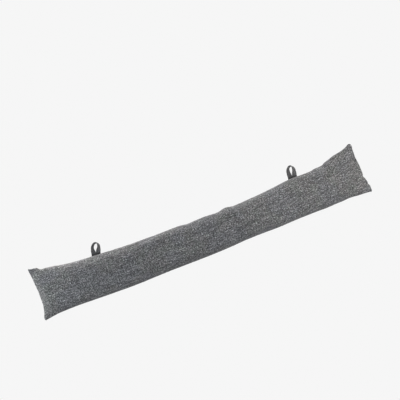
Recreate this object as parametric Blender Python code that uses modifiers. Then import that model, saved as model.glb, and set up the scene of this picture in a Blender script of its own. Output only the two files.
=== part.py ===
# Draught excluder: one filled tweed tube with two hanging loops of woven tape.
#
# The cover is a rectangle of cloth folded lengthwise, sewn along one long side and across both ends, and
# filled. It lies on the plane z = 0 with its long axis along X, its sewn side with the loops towards +Y and
# its folded side towards -Y. The origin is under the middle of the whole object. All sizes are in metres.

import math
from collections import namedtuple

import bmesh
import bpy
from mathutils import Matrix, Vector

COLLECTION_NAME = "draught_excluder"

# Cover.
FLAT_WIDTH = 0.1358  # of the empty cover pressed flat, half of its girth
LENGTH = 0.8892  # along the long axis, between the sections at the two end seams
SEAM_THICKNESS = 0.0034  # the two layers and the allowance turned in between them
FOOT_SINK = 0.0014  # how far the round underside would reach below the surface that flattens it

# Height of the sewn edge and the folded edge above the surface: low at the ends, higher where it is full.
END_EDGE_HEIGHT = 0.0165
FULL_EDGE_HEIGHT = 0.0350
EDGE_RISE_LENGTH = 0.160

# Section shape. A roundness of 2 is an ellipse, more is squarer. Near an end the section turns into a lens.
TOP_ROUNDNESS = 2.15
UNDER_ROUNDNESS = 2.9
END_LENS = 1.55  # power of the section's height at the end seams, where 1 is round-sided
LENS_LENGTH = 0.085

# Fineness of the cover's faces.
RINGS = 76
RING_HALF = 18  # steps over the top of a ring, and as many under it
EVEN_SHARE = 0.55  # of the rings' spacing that is even, the rest is closer together at the ends

# One row for each section, from the left end seam to the right one, as the cover lies: it bows a little
# towards its sewn side and narrows where the filling makes it thick. The edges are measured across from the
# line through the middles of the end seams.
Section = namedtuple("Section", "at sewn_edge folded_edge")
SECTIONS = (
    Section(at=0.0000, sewn_edge=0.0664, folded_edge=-0.0690),
    Section(at=0.0150, sewn_edge=0.0634, folded_edge=-0.0679),
    Section(at=0.0360, sewn_edge=0.0557, folded_edge=-0.0662),
    Section(at=0.0560, sewn_edge=0.0519, folded_edge=-0.0656),
    Section(at=0.0870, sewn_edge=0.0468, folded_edge=-0.0658),
    Section(at=0.1280, sewn_edge=0.0417, folded_edge=-0.0671),
    Section(at=0.2000, sewn_edge=0.0369, folded_edge=-0.0693),
    Section(at=0.2610, sewn_edge=0.0326, folded_edge=-0.0700),
    Section(at=0.3430, sewn_edge=0.0302, folded_edge=-0.0684),
    Section(at=0.3940, sewn_edge=0.0300, folded_edge=-0.0686),
    Section(at=0.4250, sewn_edge=0.0270, folded_edge=-0.0688),
    Section(at=0.4660, sewn_edge=0.0283, folded_edge=-0.0685),
    Section(at=0.5030, sewn_edge=0.0271, folded_edge=-0.0675),
    Section(at=0.5270, sewn_edge=0.0302, folded_edge=-0.0664),
    Section(at=0.5500, sewn_edge=0.0278, folded_edge=-0.0651),
    Section(at=0.5780, sewn_edge=0.0288, folded_edge=-0.0645),
    Section(at=0.6400, sewn_edge=0.0321, folded_edge=-0.0648),
    Section(at=0.7010, sewn_edge=0.0388, folded_edge=-0.0637),
    Section(at=0.7720, sewn_edge=0.0409, folded_edge=-0.0638),
    Section(at=0.7930, sewn_edge=0.0424, folded_edge=-0.0625),
    Section(at=0.8130, sewn_edge=0.0482, folded_edge=-0.0622),
    Section(at=0.8340, sewn_edge=0.0552, folded_edge=-0.0616),
    Section(at=0.8540, sewn_edge=0.0590, folded_edge=-0.0630),
    Section(at=0.8750, sewn_edge=0.0664, folded_edge=-0.0643),
    Section(at=0.8892, sewn_edge=0.0668, folded_edge=-0.0643),
)

# End seams, seen from above: how far each corner stands out past the section's place, and how far the
# middle of the seam is drawn in between them.
EndSeam = namedtuple("EndSeam", "sewn_corner folded_corner draw_in")
LEFT_END = EndSeam(sewn_corner=0.0004, folded_corner=0.0064, draw_in=0.0074)
RIGHT_END = EndSeam(sewn_corner=-0.0040, folded_corner=0.0044, draw_in=0.0034)
END_SEAM_RELAX = 0.075  # past this distance from an end the sections are straight across

# A pucker in the right end seam.
NOTCH_ACROSS = 0.68  # its place, from the sewn edge to the folded edge
NOTCH_WIDTH = 0.055  # as a share of the seam
NOTCH_DEPTH = 0.0022
NOTCH_REACH = 0.025

# Main creases and slack places of the upper side, as soft troughs, or as a swell where the depth is negative.
Crease = namedtuple("Crease", "at across length width depth heading")
CREASES = (
    Crease(at=0.358, across=-0.004, length=0.040, width=0.013, depth=0.0022, heading=18),
    Crease(at=0.421, across=-0.014, length=0.030, width=0.006, depth=0.0026, heading=84),
    Crease(at=0.553, across=-0.002, length=0.028, width=0.007, depth=0.0018, heading=-62),
    Crease(at=0.527, across=0.024, length=0.014, width=0.009, depth=-0.0014, heading=60),
    Crease(at=0.704, across=-0.030, length=0.028, width=0.008, depth=0.0016, heading=78),
    Crease(at=0.766, across=0.014, length=0.024, width=0.007, depth=0.0020, heading=40),
    Crease(at=0.797, across=0.034, length=0.026, width=0.006, depth=0.0026, heading=-50),
    Crease(at=0.860, across=-0.020, length=0.034, width=0.006, depth=0.0020, heading=12),
)
CREASE_FADE = 0.020  # the creases run out this near an end seam
CREASE_PRESS = 1.6  # how much more the creases press down than in from the sides

# Hanging loops: tape sewn into the long seam by both ends side by side, flat there and on edge at its top.
TAPE_WIDTH = 0.0120
TAPE_THICKNESS = 0.0025
FEET_GAP = 0.0005  # between the two ends in the seam
SEAT_GAP = 0.0003  # between a loop's ends and the cover
LEG_HEIGHT = 0.0200  # of the legs, below the arch
LEG_STEPS = 12
ARCH_STEPS = 14
ARCH_HALF_WIDTH = 0.0077  # to the middle of the tape
TWIST = math.radians(88)  # from flat in the seam to on edge at the top of the arch
LEG_TWIST_SHARE = 0.85  # of the twist that the legs have, the arch has the rest
LOOP_DROOP = math.radians(4)
Loop = namedtuple("Loop", "name at height lean")
LOOPS = (
    Loop(name="loop_left", at=0.1785, height=0.0277, lean=math.radians(13)),
    Loop(name="loop_right", at=0.7170, height=0.0298, lean=math.radians(14)),
)

# Middle of the whole object, in the sections' measures.
MIDDLE_AT = (LENGTH + RIGHT_END.folded_corner - LEFT_END.folded_corner) / 2
MIDDLE_ACROSS = 0.0008  # halfway between the right loop's top and the fullest place of the folded edge

TWEED_COLOUR = (0.150, 0.152, 0.158, 1.0)
TWEED_ROUGHNESS = 0.95
TAPE_COLOUR = (0.085, 0.086, 0.090, 1.0)
TAPE_ROUGHNESS = 0.9


def clear_scene():
    for old in list(bpy.data.objects):
        bpy.data.objects.remove(old, do_unlink=True)


def make_material(name, colour, roughness):
    material = bpy.data.materials.new(name)
    material.use_nodes = True
    shader = material.node_tree.nodes["Principled BSDF"]
    shader.inputs["Base Color"].default_value = colour
    shader.inputs["Roughness"].default_value = roughness
    shader.inputs["Metallic"].default_value = 0.0
    return material


def smooth_step(share):
    share = min(max(share, 0.0), 1.0)
    return share * share * (3.0 - 2.0 * share)


def section_slope(index, column):
    """Slope of a column of the section table at one of its rows."""
    before = SECTIONS[max(index - 1, 0)]
    after = SECTIONS[min(index + 1, len(SECTIONS) - 1)]
    return (getattr(after, column) - getattr(before, column)) / (after.at - before.at)


def section_value(at, column):
    """The column's value at a place along the cover, on a smooth curve through the table's rows."""
    at = min(max(at, 0.0), LENGTH)
    index = max(i for i, row in enumerate(SECTIONS[:-1]) if row.at <= at)
    low, high = SECTIONS[index], SECTIONS[index + 1]
    span = high.at - low.at
    t = (at - low.at) / span
    value = getattr(low, column) * (2 * t**3 - 3 * t**2 + 1)
    value += getattr(high, column) * (3 * t**2 - 2 * t**3)
    value += section_slope(index, column) * span * (t**3 - 2 * t**2 + t)
    value += section_slope(index + 1, column) * span * (t**3 - t**2)
    return value


def edges(at):
    """How far across the sewn edge and the folded edge lie at a place along the cover."""
    return section_value(at, "sewn_edge"), section_value(at, "folded_edge")


def edge_height(at):
    """Height of the sewn and folded edges above the surface."""
    from_end = max(min(at, LENGTH - at), 0.0)
    rise = 1.0 - math.exp(-from_end / EDGE_RISE_LENGTH)
    return END_EDGE_HEIGHT + (FULL_EDGE_HEIGHT - END_EDGE_HEIGHT) * rise


def ring_points(at, thickness):
    """A section's points as (across, height), from the sewn edge over the top to the folded edge and back."""
    sewn, folded = edges(at)
    middle, half = (sewn + folded) / 2, (sewn - folded) / 2
    height = edge_height(at)
    under = min(thickness / 2, height + FOOT_SINK)
    top = thickness - under
    lens_share = 1.0 - smooth_step(min(at, LENGTH - at) / LENS_LENGTH)
    lens = 1.0 + (END_LENS - 1.0) * lens_share
    points = []
    for step in range(2 * RING_HALF):
        turn = math.pi * step / RING_HALF
        over = step <= RING_HALF
        roundness = TOP_ROUNDNESS if over else UNDER_ROUNDNESS
        across = math.copysign(abs(math.cos(turn)) ** (2.0 / roundness), math.cos(turn))
        rise = abs(math.sin(turn)) ** lens
        z = height + top * rise if over else height - under * rise
        points.append((middle + half * across, max(z, 0.0)))
    return points


def girth(points):
    return sum(math.dist(a, b) for a, b in zip(points, points[1:] + points[:1]))


def section_thickness(at):
    """The thickness that the filling gives a section, because the cover's girth is the same all along."""
    low, high = SEAM_THICKNESS, FLAT_WIDTH
    for _ in range(30):
        middle = (low + high) / 2
        if girth(ring_points(at, middle)) < 2 * FLAT_WIDTH:
            low = middle
        else:
            high = middle
    return low


def end_seam_offset(seam, share):
    """How far an end seam stands out past its section, at a share of the way to the folded edge."""
    corners = seam.sewn_corner + (seam.folded_corner - seam.sewn_corner) * share
    return corners - seam.draw_in * (1.0 - (2.0 * share - 1.0) ** 4)


def end_offset(at, share):
    """How far a section's point is moved along the cover by the two end seams and the pucker in one."""
    left = end_seam_offset(LEFT_END, share) * (1.0 - smooth_step(at / END_SEAM_RELAX))
    right = end_seam_offset(RIGHT_END, share) * (1.0 - smooth_step((LENGTH - at) / END_SEAM_RELAX))
    notch = NOTCH_DEPTH * math.exp(-(((share - NOTCH_ACROSS) / NOTCH_WIDTH) ** 2))
    return right - left - notch * (1.0 - smooth_step((LENGTH - at) / NOTCH_REACH))


def crease_depth(at, across):
    """How far the cloth lies below the full form, from the table of creases."""
    depth = 0.0
    for crease in CREASES:
        heading = math.radians(crease.heading)
        near_at, near_across = at - crease.at, across - crease.across
        along = (near_at * math.cos(heading) + near_across * math.sin(heading)) / crease.length
        over = (near_across * math.cos(heading) - near_at * math.sin(heading)) / crease.width
        depth += crease.depth * math.exp(-(along**2) - over**2)
    return depth * smooth_step(min(at, LENGTH - at) / CREASE_FADE)


def cover_ring(at):
    """A section's points in space, with the end seams' shape and the creases of the upper side."""
    sewn, folded = edges(at)
    height = edge_height(at)
    ring = []
    for step, (across, z) in enumerate(ring_points(at, section_thickness(at))):
        x = at + end_offset(at, (sewn - across) / (sewn - folded))
        if 0 < step < RING_HALF:
            outward = Vector((across - (sewn + folded) / 2, CREASE_PRESS * (z - height))).normalized()
            depth = crease_depth(at, across)
            across -= outward.x * depth
            z -= outward.y * depth
        ring.append(Vector((x - MIDDLE_AT, across - MIDDLE_ACROSS, z)))
    return ring


def ring_places():
    """Where the rings stand along the cover, closer together towards the ends."""
    places = []
    for ring in range(RINGS):
        share = ring / (RINGS - 1)
        close = 0.5 - 0.5 * math.cos(math.pi * share)
        places.append(LENGTH * (EVEN_SHARE * share + (1.0 - EVEN_SHARE) * close))
    return places


def close_end(shape, ring):
    """Faces across the thin end seam, from the ring's points over the top to those under it."""
    size = 2 * RING_HALF
    shape.faces.new((ring[0], ring[1], ring[-1]))
    for step in range(1, RING_HALF - 1):
        shape.faces.new((ring[step], ring[step + 1], ring[size - step - 1], ring[size - step]))
    shape.faces.new((ring[RING_HALF - 1], ring[RING_HALF], ring[RING_HALF + 1]))


def make_bolster(collection, material):
    """The filled cover: rings of points joined into one closed skin, each end closed along its seam."""
    shape = bmesh.new()
    rings = [[shape.verts.new(point) for point in cover_ring(at)] for at in ring_places()]
    size = 2 * RING_HALF
    for near, far in zip(rings, rings[1:]):
        for step in range(size):
            after = (step + 1) % size
            shape.faces.new((near[step], near[after], far[after], far[step]))
    close_end(shape, rings[0])
    close_end(shape, rings[-1])
    bmesh.ops.recalc_face_normals(shape, faces=shape.faces)
    mesh = bpy.data.meshes.new("bolster")
    shape.to_mesh(mesh)
    shape.free()
    mesh.shade_smooth()
    mesh.materials.append(material)
    collection.objects.link(bpy.data.objects.new("bolster", mesh))


def loop_line(loop):
    """The tape's middle line as (sideways, height, share of the twist): up a leg, over the arch and down."""
    foot = (TAPE_WIDTH + FEET_GAP) / 2
    arch_height = loop.height - LEG_HEIGHT
    leg = []
    for step in range(LEG_STEPS):
        share = step / LEG_STEPS
        sideways = foot + (ARCH_HALF_WIDTH - foot) * math.sin(share * math.pi / 2)
        leg.append((sideways, LEG_HEIGHT * share, LEG_TWIST_SHARE * smooth_step(share)))
    arch = []
    for step in range(ARCH_STEPS + 1):
        turn = math.pi * step / ARCH_STEPS
        twist = LEG_TWIST_SHARE + (1.0 - LEG_TWIST_SHARE) * math.sin(turn)
        arch.append((-ARCH_HALF_WIDTH * math.cos(turn), LEG_HEIGHT + arch_height * math.sin(turn), twist))
    return [(-sideways, height, twist) for sideways, height, twist in leg] + arch + leg[::-1]


def seam_slope(at):
    """Slope of the sewn edge against the long axis, over the width of a loop's two ends."""
    rise = section_value(at + TAPE_WIDTH, "sewn_edge") - section_value(at - TAPE_WIDTH, "sewn_edge")
    return math.atan(rise / (2 * TAPE_WIDTH))


def make_loop(collection, material, loop):
    """One tape loop: an open strip given the tape's thickness, seated just off the long seam."""
    strip = bmesh.new()
    rows = []
    for sideways, height, twist in loop_line(loop):
        middle = Vector((sideways + height * math.tan(loop.lean), height, 0.0))
        turn = TWIST * twist
        side = Vector((-math.cos(turn), 0.0, math.sin(turn))) * TAPE_WIDTH / 2
        rows.append([strip.verts.new(middle + side * place) for place in (-1, 0, 1)])
    for near, far in zip(rows, rows[1:]):
        for column in range(2):
            strip.faces.new((near[column], far[column], far[column + 1], near[column + 1]))
    mesh = bpy.data.meshes.new(loop.name)
    strip.to_mesh(mesh)
    strip.free()
    mesh.shade_smooth()
    mesh.materials.append(material)
    tape = bpy.data.objects.new(loop.name, mesh)
    collection.objects.link(tape)

    slope = seam_slope(loop.at)
    across = section_value(loop.at, "sewn_edge") - MIDDLE_ACROSS
    seat = Vector((loop.at - MIDDLE_AT, across, edge_height(loop.at)))
    tape.location = seat + Vector((-math.sin(slope), math.cos(slope), 0.0)) * SEAT_GAP
    turned = Matrix.Rotation(slope, 3, "Z") @ Matrix.Rotation(-LOOP_DROOP, 3, "X")
    tape.rotation_euler = turned.to_euler()
    thick = tape.modifiers.new("tape thickness", "SOLIDIFY")
    thick.thickness = TAPE_THICKNESS
    thick.offset = 0.0
    thick.use_even_offset = True


def main():
    clear_scene()
    collection = bpy.data.collections.new(COLLECTION_NAME)
    bpy.context.scene.collection.children.link(collection)
    tweed = make_material("tweed", TWEED_COLOUR, TWEED_ROUGHNESS)
    tape = make_material("tape", TAPE_COLOUR, TAPE_ROUGHNESS)
    make_bolster(collection, tweed)
    for loop in LOOPS:
        make_loop(collection, tape, loop)


main()
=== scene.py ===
import math

import bmesh
import bpy
import numpy as np
from mathutils import Matrix, Vector, noise


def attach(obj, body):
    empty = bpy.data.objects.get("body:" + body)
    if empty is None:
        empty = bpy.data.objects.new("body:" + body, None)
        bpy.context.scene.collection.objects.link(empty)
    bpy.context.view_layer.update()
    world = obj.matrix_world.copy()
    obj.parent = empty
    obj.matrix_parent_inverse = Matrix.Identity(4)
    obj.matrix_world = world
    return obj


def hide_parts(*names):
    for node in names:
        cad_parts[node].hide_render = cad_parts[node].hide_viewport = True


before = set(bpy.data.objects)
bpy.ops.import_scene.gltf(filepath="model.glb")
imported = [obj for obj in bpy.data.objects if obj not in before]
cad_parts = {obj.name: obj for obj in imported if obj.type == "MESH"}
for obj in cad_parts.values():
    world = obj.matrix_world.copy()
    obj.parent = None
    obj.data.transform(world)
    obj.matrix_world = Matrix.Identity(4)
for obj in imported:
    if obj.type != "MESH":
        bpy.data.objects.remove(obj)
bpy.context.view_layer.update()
bpy.ops.object.select_all(action="DESELECT")
scene = bpy.context.scene
print("frame loaded:", ", ".join(sorted(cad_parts)))


# Camera: straight above the tube, turned about the vertical as the tube lies askew in the picture.

view = {
    "lookAt": (0.0310, 0.0723),  # x and y of the picture's middle
    "turn": -21.3,  # degrees
    "level": 0.030,  # height of the tube's outline, where the picture's width is measured
    "width": 1.0232,
    "lens": 250.0,
    "sensor": 36.0,
    "clipEnd": 20.0,
}


def addCamera(s):
    data = bpy.data.cameras.new("overhead")
    data.lens = s["lens"]
    data.sensor_width = s["sensor"]
    data.clip_end = s["clipEnd"]
    camera = bpy.data.objects.new("overhead", data)
    scene.collection.objects.link(camera)
    height = s["level"] + s["width"] * s["lens"] / s["sensor"]
    camera.location = (*s["lookAt"], height)
    camera.rotation_euler = (0.0, 0.0, math.radians(s["turn"]))
    scene.camera = camera


addCamera(view)


# Small helpers.

uvMargin = 0.02  # the cloth's UV maps start here, so that the lips of the seams stay above 0


def smoothStep(share):
    share = np.clip(share, 0.0, 1.0)
    return share * share * (3.0 - 2.0 * share)


def meshObject(name, mesh):
    piece = bpy.data.objects.new(name, mesh)
    scene.collection.objects.link(piece)
    return piece


def closedMesh(shape, name):
    bmesh.ops.recalc_face_normals(shape, faces=shape.faces)
    mesh = bpy.data.meshes.new(name)
    shape.to_mesh(mesh)
    shape.free()
    return mesh


def applyAll(piece):
    bpy.ops.object.select_all(action="DESELECT")
    piece.select_set(True)
    bpy.context.view_layer.objects.active = piece
    for modifier in list(piece.modifiers):
        bpy.ops.object.modifier_apply(modifier=modifier.name)
    piece.select_set(False)


def readPoints(piece):
    flat = np.empty(len(piece.data.vertices) * 3)
    piece.data.vertices.foreach_get("co", flat)
    return flat.reshape(-1, 3)


def writePoints(piece, points):
    piece.data.vertices.foreach_set("co", np.asarray(points, float).ravel())
    piece.data.update()


# The cover: one rectangle of tweed folded lengthwise, sewn along one side and across both ends, and filled.
# It is a grid of rows across the tube, each going from the long seam over the top to the fold and back under.

cover = {
    "flatWidth": 0.1358,  # of the empty cover, half of its girth
    "length": 0.8892,  # between the sections at the two end seams
    "seamThickness": 0.0034,
    "footSink": 0.0014,
    "endEdgeHeight": 0.0165,
    "fullEdgeHeight": 0.0350,
    "edgeRiseLength": 0.160,
    "topRoundness": 2.15,  # 2 is an ellipse, more is squarer
    "underRoundness": 2.9,
    "endLens": 1.55,  # power of a section's height at the end seams
    "lensLength": 0.085,
    # place along the tube, and how far across its sewn edge and its folded edge lie
    "sections": (
        (0.0000, 0.0684, -0.0716), (0.0102, 0.0668, -0.0701), (0.0179, 0.0654, -0.0690),
        (0.0230, 0.0640, -0.0683), (0.0281, 0.0589, -0.0677), (0.0333, 0.0571, -0.0671),
        (0.0460, 0.0553, -0.0663), (0.0614, 0.0526, -0.0659), (0.0921, 0.0462, -0.0658),
        (0.1280, 0.0417, -0.0671), (0.2000, 0.0369, -0.0693), (0.2610, 0.0329, -0.0701),
        (0.3430, 0.0306, -0.0686), (0.3940, 0.0306, -0.0687), (0.4250, 0.0279, -0.0688),
        (0.4660, 0.0290, -0.0686), (0.5030, 0.0271, -0.0676), (0.5270, 0.0302, -0.0664),
        (0.5500, 0.0278, -0.0651), (0.5780, 0.0286, -0.0646), (0.6400, 0.0321, -0.0651),
        (0.7010, 0.0388, -0.0638), (0.7440, 0.0385, -0.0637), (0.7650, 0.0393, -0.0643),
        (0.7780, 0.0415, -0.0641), (0.7930, 0.0420, -0.0634), (0.7985, 0.0431, -0.0633),
        (0.8033, 0.0458, -0.0632), (0.8130, 0.0484, -0.0632), (0.8340, 0.0552, -0.0622),
        (0.8540, 0.0592, -0.0643), (0.8620, 0.0612, -0.0647), (0.8671, 0.0630, -0.0648),
        (0.8722, 0.0650, -0.0650), (0.8752, 0.0666, -0.0652), (0.8792, 0.0681, -0.0655),
        (0.8842, 0.0689, -0.0663), (0.8892, 0.0692, -0.0672),
    ),
    # the end seams: share of the way from the sewn corner to the folded one, and how far out the seam lies
    "leftEnd": (
        (0.00, 0.0015), (0.08, 0.0011), (0.15, -0.0003), (0.30, -0.0012), (0.44, -0.0025), (0.58, -0.0024),
        (0.70, -0.0018), (0.78, 0.0000), (0.83, 0.0015), (0.89, 0.0043), (0.93, 0.0068), (1.00, 0.0083),
    ),
    "rightEnd": (
        (0.00, -0.0028), (0.08, -0.0025), (0.12, -0.0034), (0.32, -0.0036), (0.43, -0.0021), (0.62, -0.0013),
        (0.70, -0.0009), (0.79, 0.0025), (0.83, 0.0026), (0.87, 0.0050), (0.91, 0.0052), (1.00, 0.0052),
    ),
    # radius of each end's sewn corner and folded corner
    "leftCorners": (0.0020, 0.0034),
    "rightCorners": (0.0059, 0.0030),
    "cornerReach": 2.4,  # how far into the tube a corner's rounding is felt, in radii
    # gathers in the end seams: place from the sewn edge to the folded edge, half width as a share of the
    # seam, how far the seam is nipped in, and how far into the tube it reaches
    "leftNips": (
        (0.20, 0.030, 0.0005, 0.016), (0.47, 0.040, 0.0004, 0.020), (0.72, 0.030, 0.0004, 0.016),
    ),
    "rightNips": (
        (0.27, 0.045, 0.0006, 0.018), (0.665, 0.018, 0.0030, 0.014), (0.83, 0.016, 0.0008, 0.010),
    ),
    "endSeamRelax": 0.075,  # past this the sections are straight across
    # main creases and slack places of the upper side, as soft troughs, or as a swell where the depth is
    # negative: place along and across, half length, half width, depth and heading in degrees
    "creases": (
        (0.320, 0.018, 0.050, 0.008, -0.0015, 2), (0.358, -0.007, 0.040, 0.011, 0.0028, 14),
        (0.421, 0.003, 0.034, 0.006, 0.0030, 87), (0.483, -0.011, 0.010, 0.006, 0.0014, 20),
        (0.500, 0.020, 0.014, 0.006, 0.0015, 10), (0.511, 0.004, 0.016, 0.007, 0.0014, -20),
        (0.547, -0.002, 0.026, 0.006, 0.0028, -58), (0.527, 0.024, 0.014, 0.009, -0.0014, 60),
        (0.572, -0.046, 0.022, 0.010, -0.0014, 30), (0.704, -0.030, 0.028, 0.008, 0.0020, 78),
        (0.766, 0.014, 0.024, 0.007, 0.0020, 40), (0.797, 0.034, 0.026, 0.006, 0.0030, -50),
        (0.802, 0.037, 0.011, 0.0026, 0.0020, -38), (0.878, -0.0215, 0.012, 0.0024, 0.0014, 4),
        (0.860, -0.020, 0.034, 0.006, 0.0020, 12),
    ),
    "creaseFade": 0.020,  # the creases run out this near an end seam
    "creasePress": 1.6,  # how much more they press down than in from the sides
    "middleAt": 0.4436,  # the place along the tube that lies over the frame's origin
    "middleAcross": 0.0008,
    "sectionPoints": 160,  # points over the top of a section while it is being worked out
    "halvings": 26,  # steps of the search for a section's thickness
    "rows": 256,
    "evenShare": 0.62,  # of the rows' spacing that is even, the rest is closer together at the ends
    "halfCells": 44,  # cells over the top of a row, and as many under it
    "cellAtSeam": 0.0011,  # width of the cells beside the long seam
    "closeCells": 2.2,  # how many of them, more or less, are as narrow
    "seamDepth": 0.0016,  # of the groove between the two layers, along the seams
    "seamRoll": 0.0005,  # how far the cloth swells out beside the groove
    "seamWidth": 0.0021,
    "grooveWidth": 0.55,  # in seam widths, as is the next one
    "rollAt": 1.5,
    "seamFade": 0.012,  # the long seam's relief comes up within this from an end seam
    "grooveAtEnds": 0.35,  # share of the groove that is there already at the ends
    "seamLip": 0.0015,  # how far the weave runs on into the end seams
    "lipDepth": 0.7,  # the end seams are no deeper than this share of their opening
    "seamCrease": 0.6,  # how sharp the seams' edges stay, from 0 to 1
    "foldCrease": (0.7, 0.07),  # how sharp the fold is at an end seam, and how far from it it's quite round
    "allowance": 0.0115,  # how wide the seam allowance shows through beside the long seam
    "ridge": 0.0007,  # and how much it lifts the cloth
    "ridgeUnder": 0.25,  # share of the lift on the under side
    "ridgeSlopes": (0.003, 0.0035),  # how long it rises beside the seam, and falls again
    # how often the width and the lift change, in swings a metre, and how much
    "widthChange": (26.0, 0.30),
    "liftChange": (70.0, 0.5),
    "leftFilling": (0.0138, 0.050),  # how much sooner the left end is filled, and within what length
    # the left end's seam hangs down: how far, how far along, and between which shares of the seam it
    # begins to and hangs fully
    "leftHang": (0.0050, 0.0100, 0.18, 0.38),
    # lumps of the fibre filling under the cloth: size, height and how far they run along the tube
    "lumps": ((0.070, 0.0011, 1.6), (0.034, 0.0007, 1.3), (0.015, 0.00035, 1.0)),
    "lumpsFrom": (0.03, 0.020),  # full this far from an end seam, and this high above what it lies on
    "lumpsAtEdges": (0.7, 0.008),  # how much lower along the seam and the fold, and how far from them
    # the left end's sewn corner is pressed flat and curls up: how much, how wide, and how far along it
    # curls fully and ends
    "curl": (0.0032, 0.0034, 0.0144, 0.0240),
}

sectionTable = np.array(cover["sections"])


def smoothCurve(places, values, at):
    # a smooth curve through the points of a table
    slopes = np.empty_like(values)
    slopes[1:-1] = (values[2:] - values[:-2]) / (places[2:] - places[:-2])
    slopes[0] = (values[1] - values[0]) / (places[1] - places[0])
    slopes[-1] = (values[-1] - values[-2]) / (places[-1] - places[-2])
    at = np.clip(at, places[0], places[-1])
    low = np.clip(np.searchsorted(places, at, side="right") - 1, 0, len(places) - 2)
    span = places[low + 1] - places[low]
    t = (at - places[low]) / span
    value = values[low] * (2 * t**3 - 3 * t**2 + 1) + values[low + 1] * (3 * t**2 - 2 * t**3)
    return value + span * (slopes[low] * (t**3 - 2 * t**2 + t) + slopes[low + 1] * (t**3 - t**2))


def columnAt(at, column):
    return smoothCurve(sectionTable[:, 0], sectionTable[:, column], at)


def toNearEnd(at):
    return np.minimum(at, cover["length"] - at)


def edgeHeight(at):
    fromEnd = np.clip(toNearEnd(at), 0.0, None)
    rise = 1.0 - np.exp(-fromEnd / cover["edgeRiseLength"])
    return cover["endEdgeHeight"] + (cover["fullEdgeHeight"] - cover["endEdgeHeight"]) * rise


def sectionLine(at, thickness):
    # a section as points (across, height), over the top from the long seam to the fold and back under
    sewn, folded = columnAt(at, 1), columnAt(at, 2)
    height = edgeHeight(at)
    under = min(thickness / 2, height + cover["footSink"])
    top = thickness - under
    lens = 1.0 + (cover["endLens"] - 1.0) * (1.0 - smoothStep(toNearEnd(at) / cover["lensLength"]))
    halfPoints = cover["sectionPoints"]
    turn = np.pi * np.arange(2 * halfPoints + 1) / halfPoints
    over = turn <= np.pi
    roundness = np.where(over, cover["topRoundness"], cover["underRoundness"])
    across = np.sign(np.cos(turn)) * np.abs(np.cos(turn)) ** (2.0 / roundness)
    rise = np.abs(np.sin(turn)) ** lens
    z = np.where(over, height + top * rise, height - under * rise)
    return np.stack([(sewn + folded) / 2 + (sewn - folded) / 2 * across, np.maximum(z, 0.0)], 1)


def lineLengths(line):
    return np.concatenate([[0.0], np.cumsum(np.linalg.norm(np.diff(line, axis=0), axis=1))])


def sectionThickness(at):
    # what the filling gives it, because the cloth's girth is the same all along; the filling reaches
    # right up to the left end's seam
    sooner, within = cover["leftFilling"]
    at = at + sooner * (1.0 - float(smoothStep(at / within)))
    low, high = cover["seamThickness"], cover["flatWidth"]
    for _ in range(cover["halvings"]):
        middle = (low + high) / 2
        if lineLengths(sectionLine(at, middle))[-1] < 2 * cover["flatWidth"]:
            low = middle
        else:
            high = middle
    return low


def girthPlaces():
    # where the grid's columns lie round the cover, closer together beside the long seam
    cells = cover["halfCells"]
    bunched = np.exp(-np.arange(cells) / cover["closeCells"])
    plain = (cover["flatWidth"] - cells * cover["cellAtSeam"]) / (cells - bunched.sum())
    widths = cover["cellAtSeam"] + plain * (1.0 - bunched)
    half = np.concatenate([[0.0], np.cumsum(widths)])
    half *= cover["flatWidth"] / half[-1]
    return np.concatenate([half, 2 * cover["flatWidth"] - half[-2:0:-1]])


def rowPlaces():
    share = np.arange(cover["rows"]) / (cover["rows"] - 1)
    close = 0.5 - 0.5 * np.cos(np.pi * share)
    return cover["length"] * (cover["evenShare"] * share + (1.0 - cover["evenShare"]) * close)


def seamOffset(end, share):
    table = np.array(end)
    return smoothCurve(table[:, 0], table[:, 1], share)


def cornerOffset(radii, share, fromSeam):
    # how far the two corners of an end are rounded off
    offset = 0.0
    for radius, fromCorner in zip(radii, (share, 1.0 - share)):
        short = 1.0 - np.clip(fromCorner * cover["flatWidth"] / radius, 0.0, 1.0)
        fade = 1.0 - smoothStep(fromSeam / (cover["cornerReach"] * radius))
        offset = offset + radius * (1.0 - np.sqrt(1.0 - short**2)) * fade
    return offset


def nipOffset(nips, share, fromSeam):
    offset = 0.0
    for place, width, depth, reach in nips:
        fade = 1.0 - smoothStep(fromSeam / reach)
        offset = offset + depth * np.exp(-((share - place) / width) ** 2) * fade
    return offset


def endOffset(at, share):
    relax = cover["endSeamRelax"]
    toRight = cover["length"] - at
    left = seamOffset(cover["leftEnd"], share) * (1.0 - smoothStep(at / relax))
    left = left - nipOffset(cover["leftNips"], share, at) - cornerOffset(cover["leftCorners"], share, at)
    right = seamOffset(cover["rightEnd"], share) * (1.0 - smoothStep(toRight / relax))
    right = right - nipOffset(cover["rightNips"], share, toRight)
    right = right - cornerOffset(cover["rightCorners"], share, toRight)
    return right - left


def creaseDepth(at, across):
    depth = np.zeros_like(across)
    for place, placeAcross, length, width, deep, heading in cover["creases"]:
        turn = math.radians(heading)
        nearAt, nearAcross = at - place, across - placeAcross
        along = (nearAt * math.cos(turn) + nearAcross * math.sin(turn)) / length
        over = (nearAcross * math.cos(turn) - nearAt * math.sin(turn)) / width
        depth += deep * np.exp(-(along**2) - over**2)
    return depth * smoothStep(toNearEnd(at) / cover["creaseFade"])


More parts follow.
